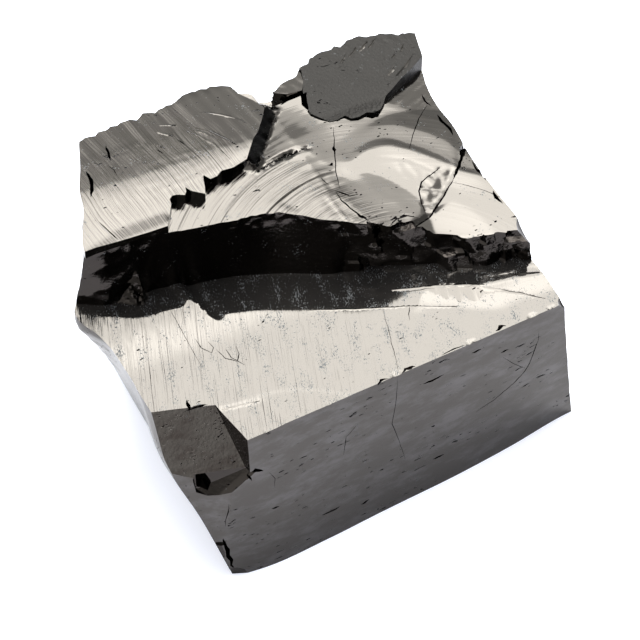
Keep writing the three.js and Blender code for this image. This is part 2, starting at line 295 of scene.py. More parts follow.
def terrace_relief(x, y, z=0):
    height = terrace_plane(x, y) + 0.25
    wander = 0.12 * mottle(x, y, 0, 1.6, 1)
    far, bearing = polar(x, y, LENS_AT)
    start, end = lens_start(bearing), lens_end(bearing)
    middle = np.maximum(start + 0.1, end - 2.6)
    on_lens = window(bearing, -38, 86, 9)
    for slope, inner, outer in ((0.062, start, middle), (0.078, middle, end)):
        w = outer - inner
        height -= on_lens * towards(bearing, slope) * w * ramp(far + wander - inner, w, 0.06)
    # ribs fan out to its left, below a blade and a grey band
    sweep, turn = polar(x, y, FAN_AT)
    fan = window(turn, 84, 150, 4) * ease(sweep, 18.0, 19.5)
    fan *= (1 - ease(x + 0.5 * y, 37, 41)) * (1 - 0.6 * ease(y - shore(x), 0, 1))
    height += fan * 0.075 * ripple(sweep, turn, 0.9, 3, 0.02)
    height += fan * 0.045 * ripple(sweep, turn, 0.55, 8, 0.05)
    band = window(bearing, 84, 121, 7)
    height -= GREY_FALL * band * ramp(far + wander - 7.0, 1.0, 0.15)
    height += GREY_FALL * band * ramp(far + wander - 8.3, 2.0, 0.2)
    far, bearing = polar(x, y, (22.6, 15.4))
    step = ramp(far + 0.5 * wander - 2.7, 0.5, 0.06)
    height -= GREY_FALL * 0.5 * step * window(bearing, 12, 72, 18)
    height += 0.02 * ridge(far + 0.5 * wander - 2.4, 0.2) * window(bearing, 30, 90, 12)
    # the long crescents that ring the other place
    far, bearing = polar(x, y, CRESCENT_AT)
    start = crescent_start(bearing)
    height += 0.045 * window(bearing, 5, 95, 20) * 3.4 * ramp(far - start + 3.6, 3.4, 0.4)
    height -= 0.02 * ridge(far - 7.8, 0.12) * window(bearing, 20, 70, 8)
    steps = (
        (crescent_width, crescent_slope, 0.06), (band_width, band_slope, 0.1),
        (gulf_width, gulf_slope, 0.12),
    )
    for width, slope, soft in steps:
        w = width(bearing)
        height -= towards(bearing, slope(bearing)) * w * ramp(far + 0.6 * wander - start, w, soft)
        start = start + w
        if slope is crescent_slope:
            rough = 0.5 + 0.8 * mottle(x, y, 0, 0.5, 6)
            height += 0.035 * ridge(far - start - 0.2, 0.2) * window(bearing, 15, 50, 8) * rough
    swirl = np.hypot(x - 34.6, (y - 20.8) / 1.7)
    height += 0.022 * ridge(swirl - 0.75 + wander, 0.3) * (0.6 + mottle(x, y, 0, 1.0, 7))
    # the shore below the sheet, and a torn seam along it
    beyond = y - shore(x) + 0.3 * wander
    height -= shore_slope(x) * 6 * ramp(beyond, 6, 0.5)
    streaks = ripple(y - SEAM_SLOPE * x, x, 0.7, 5, 0.05) * window(x, 19, 29, 2)
    height += 0.012 * streaks * ease(beyond, 0, 0.8)
    torn = seam(x, y) * ease(mottle(x, y, 0, 0.6, 3), -0.3, 0.1)
    height -= 0.16 * torn * (1 + mottle(x, y, 0, 0.5, 4))
    # where the sheet broke off, its edge runs out in a rough slope
    from_x, from_y = x - SHEET_END_AT[0], y - SHEET_END_AT[1]
    out = from_x * SHEET_END_TO[1] - from_y * SHEET_END_TO[0]
    along = from_x * SHEET_END_TO[0] + from_y * SHEET_END_TO[1]
    rough = 1 + 0.5 * mottle(x, y, 0, 0.9, 17)
    slope = np.clip(1 - out / (1.3 * rough), 0, 1)
    height += 1.1 * slope * window(along, 0.5, 10, 1.2) * ease(out, -2, -1)
    # to the right of the peak it falls away, with streaks along it
    out = (x - 38.3) * 0.707 + (y - 31.4) * 0.707
    streaked = 0.04 * mottle((y - 0.51 * x) * 1.2, 0.12 * x, 0, 0.7, 24)
    streaked += 0.02 * mottle(y - 0.51 * x, 0.2 * x, 0, 0.35, 25)
    falling = 0.105 * 8 * ramp(out, 8, 0.3) + streaked * ease(out, 0, 1.5)
    height -= falling * ease(x + 0.3 * (y - 31), 37.5, 39.5)
    # it lies deeper where the sheet and the lump cover it
    height -= 1.6 * ease(y, 31, 34) * ease(x, 21.5, 19)
    height -= 0.8 * ease(y, 35.8, 36.4) * window(x, 25.5, 31.6, 0.4)
    # the chipped ground between a step and the long crack
    step = np.interp(x, (32.9, 33.3, 34, 35, 36.5, 38), (14.8, 16.2, 17.8, 18.8, 19.4, 19.8))
    crack = np.interp(x, (29.6, 31, 33, 36, 38.5, 41.8), (13.2, 13.5, 14.1, 16, 17.8, 21))
    chipped = ease(y, crack, crack + 0.5) * ease(y, step + 0.3, step)
    chipped *= ease(x, 32.4, 33.0) * ease(x, 40, 38.5)
    deep = 0.12 + 0.16 * scallops(x, y, 0.65, 61, 1.2, 0.3) - 0.12 * ease(y - crack, 0, 2.5)
    height -= chipped * deep
    # a last small crescent, and the grey patch behind the riser's end
    far, bearing = polar(x, y, (37, 13.5))
    height -= 0.09 * ramp(far - 5.7, 0.6, 0.06) * window(bearing, 22, 58, 8)
    far, bearing = polar(x, y, (29, 10))
    below = ease(y - 13.5 - 0.25 * np.clip(x - 30, 0, 9), 0.3, 0.0) * window(bearing, -20, 80, 20)
    height -= GREY_FALL * 2.4 * ramp(far - 1.6 + wander, 2.4, 0.08) * below
    height += 0.036 * 5 * ramp(far - 4.4, 5, 0.2) * below
    return height


SHEET_THICKNESS = 1.4
SHEET_OUTLINE = [
    (-9, 22.7), (-3, 22.9), (0, 22.6), (3, 22.5), (5.4, 22.5), (6.1, 23.5), (7.4, 25.3),
    (7.6, 26.0), (8.1, 26.35), (8.6, 26.3), (9.4, 25.9), (9.8, 26.3), (10.0, 26.9), (10.3, 26.2),
    (11.0, 25.6), (11.5, 25.2), (12.0, 26.2), (12.4, 27.2), (12.7, 27.7), (13.1, 26.9),
    (14.0, 27.0), (14.8, 27.5), (16.2, 27.4), (18.2, 27.9), (20.5, 30.4), (21.6, 31.3),
    (23.2, 33.1), (24.5, 34.8), (24.1, 36.6), (23.3, 38.4), (22.9, 46), (-9, 46),
]
sheet_fall = profile(
    (27, 0), (29.7, 0.01), (30.4, 0.06), (31.1, 0.17), (33, 0.51), (36, 1.05), (40, 1.77),
    (46, 2.8),
)


def sheet_relief(x, y, z=0):
    # it turns down past a crease, and the front edge is a long blade-thin flake scar
    wander = 0.25 * mottle(x, 0 * y, 0, 1.1, 12)
    fall = sheet_fall(y + 0.02 * (x - 10) + wander)
    lip_line = np.where(x < -0.4, 24.0 + 0.25 * x, 24.25 + 0.05 * x)
    lip = 0.115 * 1.6 * ramp(lip_line - y, 1.6, 0.05) * (1 - ease(x, 5.8, 6.4))
    # rows of ripples before the crease, and curved ribs across the right end
    rows = 0.02 * mottle(0.25 * x, y, 0, 0.8, 19)
    rows *= window(x, 6, 18, 2) * window(y, 27.8, 31.5, 0.8)
    rise = 0.16 * ease(x, 13, 24)
    rise += 0.05 * mottle(x, y, 0, 0.9, 14) * ridge(x - 8, 2.2) * ridge(y - 35, 0.7)
    return terrace_plane(x, y) + SHEET_THICKNESS + rise - fall + lip + rows


PEAK_OUTLINE = [
    (31.6, 46), (31.9, 39.2), (31.2, 37.6), (30.3, 36.2), (29.3, 34.2), (29.2, 32.6), (29.9, 31.5),
    (30.6, 30.8), (31.6, 30.75), (32.6, 30.95), (33.1, 30.3), (34.0, 30.2), (35.2, 30.45),
    (35.9, 30.1), (36.8, 30.2), (37.6, 30.8), (38.4, 31.6), (39.6, 32.2), (41.5, 33.3),
    (43.5, 34.2), (45.5, 35.3), (47, 36), (54, 39), (54, 46),
]


def peak_relief(x, y, z=0):
    # hackles along its back, and streaks beside its lower right edge
    hackles = 0.05 * mottle(x * 2.2 + y, y * 0.5, 0, 0.8, 15)
    hackles *= ease(y + 0.25 * (x - 41), 39.0, 40.5) * ease(x, 36, 39)
    side = 0.890 * (y - 31.6) - 0.455 * (x - 38.4)
    hackles += 0.04 * mottle(side, 0.03 * x, 0, 0.35, 27) * ease(side, 3.0, 0.5) * ease(x, 37, 39)
    front = 0.3 * ease(y, 32.0, 30.2) * ease(x, 40, 37)
    return peak_plane(x, y) + hackles - front + 0.03 * mottle(x, y, 0, 3, 16)


LUMP_OUTLINE = [
    (26.3, 46), (26.4, 38.2), (27, 36.9), (28.2, 36.2), (30.2, 36.2), (31.1, 37.4), (31.9, 38.9),
    (32, 46),
]


def lump_relief(x, y, z=0):
    tilt = 0.07 * (x - 29.5) + 0.09 * (y - 37.5)
    return terrace_plane(x, y) - 0.1 - tilt + 0.03 * mottle(x, y, 0, 1.0, 26)


# The block is put together from these, and the joint faces are cut on it.

FINE = 0.25     # spacing of the points on the faces that show most
MEDIUM = 0.4    # and on the flanks that show their edges
COARSE = 0.6    # and on the flanks that don't
THICK = 30      # a cutting slab reaches this far outwards
UP = Vector((0, 0, 1))
FORWARD = Vector((0, -1, 0))
LAYER_DEPTH = 20
BACK_REACH = 44.5
BELOW, ABOVE = 10, 45       # the columns run from below the terrace to above the peak


def alone(piece):
    bpy.ops.object.select_all(action="DESELECT")
    piece.select_set(True)
    bpy.context.view_layer.objects.active = piece


def face_outwards():
    """Turns every face of the active piece outwards."""
    bpy.ops.object.mode_set(mode="EDIT")
    bpy.ops.mesh.select_all(action="SELECT")
    bpy.ops.mesh.normals_make_consistent(inside=False)
    bpy.ops.object.mode_set(mode="OBJECT")


def slab(name, at, facing, size, spacing, depth, relief, finish=BREAK):
    """A slab with one waved face, which stands relief(x, y, z) off the plane through
    at, towards facing. It reaches outwards by depth, or inwards where that is negative."""
    cells = [max(1, round(length / spacing)) for length in size]
    bpy.ops.mesh.primitive_grid_add(x_subdivisions=cells[0], y_subdivisions=cells[1], size=1)
    piece = bpy.context.object
    piece.name = name
    piece.data.materials.append(finish)
    alone(piece)
    bpy.ops.object.mode_set(mode="EDIT")
    bpy.ops.mesh.select_all(action="SELECT")
    bpy.ops.transform.resize(value=(size[0], size[1], 1))
    bpy.ops.mesh.extrude_region_move(TRANSFORM_OT_translate={"value": (0, 0, depth)})
    bpy.ops.object.mode_set(mode="OBJECT")

    out = Vector(facing).normalized()
    along = UP.cross(out)
    along = along.normalized() if along.length > 0.001 else Vector((1, 0, 0))
    across = out.cross(along)
    count = len(piece.data.vertices)
    points = np.empty(count * 3)
    piece.data.vertices.foreach_get("co", points)
    points = points.reshape(count, 3)
    waved = np.abs(points[:, 2]) < 0.5 * abs(depth)
    flat = np.outer(points[:, 0], along) + np.outer(points[:, 1], across) + np.array(at)
    stand = np.full(count, float(depth))
    stand[waved] = relief(*flat[waved].T)
    points = flat + np.outer(stand, out)
    piece.data.vertices.foreach_set("co", points.ravel())
    face_outwards()
    return piece


def prism(name, outline, bottom, top):
    """An upright column over an outline seen from above."""
    bpy.ops.mesh.primitive_circle_add(vertices=len(outline), radius=1, fill_type="NGON")
    piece = bpy.context.object
    piece.name = name
    alone(piece)
    for point, (x, y) in zip(piece.data.vertices, outline):
        point.co = (x, y, bottom)
    bpy.ops.object.mode_set(mode="EDIT")
    bpy.ops.mesh.select_all(action="SELECT")
    bpy.ops.mesh.extrude_region_move(TRANSFORM_OT_translate={"value": (0, 0, top - bottom)})
    bpy.ops.object.mode_set(mode="OBJECT")
    face_outwards()
    return piece


def combine(piece, other, operation):
    """Joins other to piece, cuts it out of it, or keeps what they share."""
    alone(piece)
    joint = piece.modifiers.new(operation.lower(), "BOOLEAN")
    joint.operation = operation
    joint.solver = "MANIFOLD"
    joint.material_mode = "TRANSFER"
    joint.object = other
    bpy.ops.object.modifier_apply(modifier=joint.name)
    bpy.data.objects.remove(other)


def cut(piece, other):
    combine(piece, other, "DIFFERENCE")


def layer(name, relief, finish, left, right, front, outline=None):
    """Everything below a waved face, within its outline if it has one."""
    middle = ((left + right) / 2, (front + BACK_REACH) / 2, 0)
    size = (right - left, BACK_REACH - front)
    whole = slab(name, middle, UP, size, FINE, -LAYER_DEPTH, relief, finish)
    if outline:
        combine(whole, prism("cut", outline, BELOW, ABOVE), "INTERSECT")
    return whole


stone = layer("shungite_stone", terrace_relief, TERRACE, -9, 50, -3)
combine(stone, layer("sheet", sheet_relief, SHEET, -8, 26, 21.5, SHEET_OUTLINE), "UNION")
combine(stone, layer("peak", peak_relief, PEAK, 28, 50, 29, PEAK_OUTLINE), "UNION")
combine(stone, layer("lump", lump_relief, SHEET, 25, 33, 35, LUMP_OUTLINE), "UNION")
MID_LENGTH, MID_DEPTH, MID_HEIGHT = 20, 20, 16
LONG, SHORT = (72, 44), (60, 44)
FLANKS = [
    ("front", (MID_LENGTH, 0, MID_HEIGHT), FORWARD, LONG, 0.9, front_relief),
    ("left", (0, MID_DEPTH, MID_HEIGHT), (-1, 0, 0), SHORT, MEDIUM, left_relief),
    ("right", (FRONT_LENGTH, MID_DEPTH, MID_HEIGHT), (1, 0, 0), SHORT, COARSE, right_relief),
    ("back", (MID_LENGTH, BACK_AT, MID_HEIGHT), (0, 1, 0), LONG, COARSE, back_relief),
]
for name, at, facing, size, spacing, relief in FLANKS:
    cut(stone, slab(name, at, facing, size, spacing, THICK, relief, JOINT))


def dish(at, facing, hollow, rib=0.12, spacing=5):
    """A conchoidal scar: a shallow hollow ringed by ribs."""

    def relief(x, y, z):
        radius = np.sqrt((x - at[0]) ** 2 + (y - at[1]) ** 2 + (z - at[2]) ** 2)
        fine_rib = 0.3 * rib * np.cos(5.3 * math.pi * radius / spacing)
        return hollow * radius**2 - rib * np.cos(2 * math.pi * radius / spacing) - fine_rib

    cut(stone, slab("scar", at, facing, (30, 30), 0.5, THICK, relief, JOINT))


dish((44.6, 40.8, 10), (0.75, 0.6, -0.15), 0.012)
dish((0.2, 37.4, 5), (-0.75, 0.6, -0.35), 0.015)
dish((16, 41.7, 18), (-0.1, 1, 0.12), 0.006, 0.2, 6)
dish((45.6, 26, 6), (1, 0.05, -0.25), 0.008, 0.15)

# The low ledge and the riser behind it, left where one long flake came off.

LEDGE_FALL = 0.027
riser_foot = profile(
    (-6, 24.5), (-2, 22.9), (2, 23.0), (8, 22.2), (13, 21.0), (18, 18.7), (23, 15.6), (27, 13.0),
    (31, 10.9), (35, 8.0), (38, 6.9), (41, 6.5), (44, 4.6), (48, 2.5),
)
riser_lean = profile(
    (-6, 1.2), (2, 0.4), (8, 0.1), (13, 0.5), (18, 1.8), (23, 1.2), (27, 0.7), (31, 1.2),
    (35, 2.1), (38, 1.6), (42, 1.5),
)
# A low crest runs along the ledge in front of the riser. The ledge starts to rise a reach
# in front of it, gets as steep as its slope, and is level behind it. The rise follows the
# base, which is the crest's line without the step in it.
crest_line = profile(
    (-6, 23.0), (-3, 22.0), (0, 20.4), (5, 19.4), (6.8, 18.9), (7.2, 17.1), (9, 16.5), (12, 15.4),
    (15, 13.7), (18, 12.3), (24, 9.2), (27.4, 7.5), (28.6, 8.6), (30, 8.9), (33, 7.4), (35, 6.3),
    (38, 5.6), (42, 4.6),
)
crest_base = profile(
    (-6, 23.0), (-3, 22.0), (0, 20.4), (5, 18.7), (9, 16.8), (12, 15.4), (15, 13.7), (18, 12.3),
    (24, 9.2), (27.4, 7.5), (28.6, 8.6), (30, 8.9), (33, 7.4), (35, 6.3), (38, 5.6), (42, 4.6),
)
crest_reach = profile(
    (-6, 10), (-2, 9), (0, 7.6), (4.5, 6.6), (7, 5.8), (9, 5.0), (11, 4.2), (13, 3.4), (16, 2.4),
    (18, 2.2), (27, 2.0), (29.5, 3.6), (42, 3.4),
)
crest_slope = profile(
    (-6, 0.33), (-2, 0.32), (0, 0.29), (4.5, 0.24), (7, 0.20), (9, 0.16), (11, 0.125), (13, 0.10),
    (16, 0.07), (27.2, 0.07), (29, 0.15), (42, 0.18),
)


def ledge_height(x):
    return FRONT_HEIGHT - LEDGE_FALL * x


def ledge_relief(x, y, z=0):
    fillet = 0.05 * np.exp(-np.clip(riser_foot(x) - y, 0, None) / 0.25)
    ragged = 0.12 * mottle(x, y * 0.15, 0, 0.6, 20) * (1 - ease(x, 14, 20))
    before = crest_base(x) - np.minimum(y - ragged, crest_line(x))
    climb = np.clip(1 - before / crest_reach(x), 0, 1.4)
    crest = 0.5 * crest_slope(x) * crest_reach(x) * climb**2
    ribs = 0.006 * ridge(y - 21.6 + 0.02 * (x - 6) ** 2, 0.2) * window(x, 5, 23, 2)
    # the front has lost a blade-thin flake, ringed by faint arcs
    blade = 0.10 * ramp(5.4 - y - 0.24 * (x - 1.5), 0.5, 0.05) * window(x, 1.6, 5.0, 1.5)
    arc = np.hypot(x - 4, (y + 9) * 0.95)
    arcs = 0.035 * ease(arc, 13.6, 12.8) * window(x, 5, 18, 2)
    arcs += 0.012 * ridge(np.hypot(x - 20, y + 1.5) - 6.5, 0.18) * window(y, 0, 5, 1)
    streaks = 0.008 * mottle(x - 0.45 * y, 0.10 * y, 0, 0.8, 21)
    streaks *= ease(y, 5, 9) * (1 - ease(x, 22, 30))
    # small chips along the front edge, in groups
    chips = 0.12 * ridge(y, 0.35) * ease(mottle(x, 0 * y, 0, 1.9, 32), 0.3, 0.5)
    chips *= ease(mottle(x, 0 * y, 0, 0.6, 33), -0.2, 0.1)
    return ledge_height(x) + fillet + crest + ribs - blade - arcs + streaks - chips


def riser_relief(x, y, z):
    height = np.clip((z - ledge_height(x)) / 7.5, 0, 1.3)
    rough = ease(x, 21, 27)
    left_rough = 1 - ease(x, 3, 6)
    lumps = 1.3 * scallops(x + 0.3 * z, z * 0.6, 2.6, 3, 1.3, 0.12) - 0.6
    lumps += 0.7 * scallops(x - 0.2 * z, z, 1.3, 7, 1.5, 0.1)
    small = 0.5 * scallops(x, z, 1.4, 9) - 0.25
    top_chips = 0.2 * mottle(x, y, z, 0.8, 22) * ease(height, 0.8, 1.0) * window(x, 13, 21, 1.5)
    return rough * lumps + left_rough * small + top_chips - riser_foot(x) - riser_lean(x) * height


def prow_relief(x, y, z):
    across, up = x + 0.4 * y - 6.5, z - 20.5
    big = 1.5 * scallops(across + 0.2 * up, up - 0.3 * across, 3.0, 41, 1.3, 0.2)
    middle = 0.7 * scallops(across - 0.3 * up, up, 1.5, 43, 1.5, 0.15)
    small = 0.2 * scallops(across, up, 0.7, 47, 1.5, 0.1) * ease(across + 0.6 * up, 1.0, 3.5)
    comb = 0.07 * np.sin(2 * math.pi * (across * 0.8 + up * 0.6) / 0.5) * window(up, 0.8, 3.6, 0.3)
    return big + middle + small + comb - 0.85


def hull(name, corners, finish=BREAK):
    """The tight convex wrap of its corners."""
    bpy.ops.mesh.primitive_circle_add(vertices=len(corners), radius=1)
    piece = bpy.context.object
    piece.name = name
    piece.data.materials.append(finish)
    alone(piece)
    for point, corner in zip(piece.data.vertices, corners):
        point.co = corner
    bpy.ops.object.mode_set(mode="EDIT")
    bpy.ops.mesh.select_all(action="SELECT")
    bpy.ops.mesh.convex_hull()
    bpy.ops.object.mode_set(mode="OBJECT")
    face_outwards()
    return piece


notch = slab("notch", (MID_LENGTH, 10, 0), UP, (66, 44), FINE, THICK, ledge_relief, LEDGE)
riser = slab("riser", (MID_LENGTH, 0, 24), FORWARD, (66, 26), FINE, THICK, riser_relief)
combine(notch, riser, "INTERSECT")
prow = hull("prow", [
    (-7, 24.9, 18), (-2.8, 21.6, 18), (0.1, 20.3, 18), (2.9, 22.0, 18), (3, 27, 18),
    (-7, 27, 18), (-7, 23.6, 26), (-7, 23.6, 28.6), (-2.0, 22.6, 27.4), (0.6, 21.6, 24.4),
    (2.2, 22.4, 22.2), (0.2, 23.2, 29.0), (1.2, 27, 31), (-7, 27, 31),
])
scar = slab("scar", (-2.4, 22.2, 22.6), (-0.42, -0.76, 0.5), (16, 16), FINE, -9, prow_relief)
combine(prow, scar, "INTERSECT")
cut(notch, prow)
cut(stone, notch)

# The front left corner, which has lost three flakes, and chips from its foot.

cut(stone, hull("corner", [
    (1.3, 5.9, 20.0), (-6.6, 9.05, 20.45), (-6.6, 9.05, 30), (1.3, 5.9, 30),
    (2.0, -3, 12.0), (-9, -3, 9.2), (-9, -3, 30), (1.6, -3, 30),
], CORNER))
cut(stone, slab(
    "corner", (-0.64, -0.30, 11.26), (-0.555, -0.828, 0.075), (16, 11.4), MEDIUM, 8,
    lambda x, y, z: 0.05 * mottle(x, y, z, 1.5, 35), JOINT,
))
CHIPS = [
    [
        (-1.4, -1.3, 5.9), (-0.7, -1.3, 5.2), (-0.9, -1.3, 3.9), (-0.3, -1.3, 3.0),
        (-0.8, -1.3, 1.9), (-1.9, -0.6, 2.2), (-2.9, 0.5, 4.4), (-3.0, 0.6, 6.0), (-6, -5, 2),
        (-6, -5, 6.5),
    ],
    [
        (-0.9, -1.3, 0.9), (-0.3, -1.3, 1.5), (0.5, -1.25, 1.2), (1.2, -1.2, 0.5),
        (1.6, -1.2, -1), (-2, 0.6, -1), (-1.7, 0.2, 1.6), (-5, -5, -1), (3, -5, -1),
    ],
    # the pit between the flakes, and the hole at its left end
    [
        (3.0, -1.3, 15.2), (1.7, -1.3, 14.3), (0.5, -1.3, 13.5), (-0.8, -1.2, 12.7),
        (-2.2, 0.5, 12.5), (-3.3, 2.2, 13.2), (-3.3, 2.9, 15.4), (2.2, 0.5, 15.2),
        (3.2, -5, 15.2), (-3, -5, 11.5), (-6, -2, 12.6), (-4, 0, 15.6),
    ],
    [
        (-3.1, 2.6, 15.1), (-2.2, 2.3, 15.1), (-1.9, 2.2, 14.2), (-2.2, 3.0, 13.5),
        (-3.2, 3.0, 13.6), (-3.3, 1.9, 13.4), (-2.4, 1.2, 13.1), (-1.6, 1.2, 13.9),
    ],
]
for corners in CHIPS:
    cut(stone, hull("chip", corners))

# Three rounded chips off the right end: their middles and half sizes.
SCOOPS = [
    ((42.7, -0.4, 19.8), (2.3, 2.0, 1.8)),
    ((43.2, 5.2, 19.9), (1.6, 1.4, 1.2)),
    ((44.4, 7.4, 25.2), (4.3, 4.2, 4.3)),
]
for centre, half_sizes in SCOOPS:
    bpy.ops.mesh.primitive_ico_sphere_add(subdivisions=5, radius=1)
    scoop = bpy.context.object
    scoop.data.materials.append(BREAK)
    scoop.data.transform(Matrix.Translation(centre) @ Matrix.Diagonal((*half_sizes, 1)))
    cut(stone, scoop)

# Hairline cracks are thin wedges cut along a line over a face. The sharp edges of the
# thinnest flakes are as fine, and stand up instead.

POINT_EVERY = 0.6
WOBBLE = 0.08       # how far a line strays from the straight
PROUD = 0.3         # how far a wedge stands past the face it cuts


def hairline(line, surface, width, depth, out):
    """A wedge along a line of points on a surface: a groove of that depth when it is cut
    out, or a ridge of that height where the depth is below 0."""
    out = np.array(out, dtype=float)
    points = []
    for (a, b), (c, d) in zip(line, line[1:]):
        steps = max(1, round(math.hypot(c - a, d - b) / POINT_EVERY))
        points += [(a + (c - a) * k / steps, b + (d - b) * k / steps) for k in range(steps)]
    points.append(line[-1])
    flat = np.array(points)
    flat[1:-1] += WOBBLE * np.array([
        (noise.noise(Vector((a * 1.3, b * 1.3, 3))), noise.noise(Vector((a * 1.3, b * 1.3, 9))))
        for a, b in flat[1:-1]
    ])
    base = np.array(surface(*flat.T)).T
    along = np.gradient(base, axis=0)
    side = np.cross(along, out)
    side /= np.linalg.norm(side, axis=1)[:, None]
    grow = np.sin(np.linspace(0, math.pi, len(base))) ** 0.5
    uneven = [0.7 + 0.9 * abs(noise.noise(Vector((a, b, 5)))) for a, b in flat]
    half = 0.5 * width * np.clip(grow, 0.15, 1) * np.array(uneven)
    beyond = math.copysign(PROUD, depth)
    spread = side * half[:, None] * (1 + beyond / depth)
    left, right = base + beyond * out + spread, base + beyond * out - spread
    rings = np.stack([left, right, base - depth * out], axis=1).reshape(-1, 3)
    faces = [(2, 1, 0)]
    for k in range(len(base) - 1):
        i = 3 * k
        faces += [
            (i, i + 1, i + 4, i + 3), (i + 1, i + 2, i + 5, i + 4), (i + 2, i, i + 3, i + 5),
        ]
    last = 3 * (len(base) - 1)
    faces.append((last, last + 1, last + 2))
    mesh = bpy.data.meshes.new("hairline")
    mesh.from_pydata([tuple(point) for point in rings], [], faces)
    mesh.materials.append(SHEET if depth < 0 else BREAK)
    piece = bpy.data.objects.new("hairline", mesh)
    bpy.context.collection.objects.link(piece)
    alone(piece)
    face_outwards()
    return piece


def over_terrace(x, y):
    return x, y, terrace_relief(x, y)


def over_sheet(x, y):
    return x, y, sheet_relief(x, y)


def over_peak(x, y):
    return x, y, peak_relief(x, y)


def over_ledge(x, y):
    return x, y, ledge_relief(x, y)


def over_front(x, z):
    return x, -front_relief(x, 0 * x, z), z


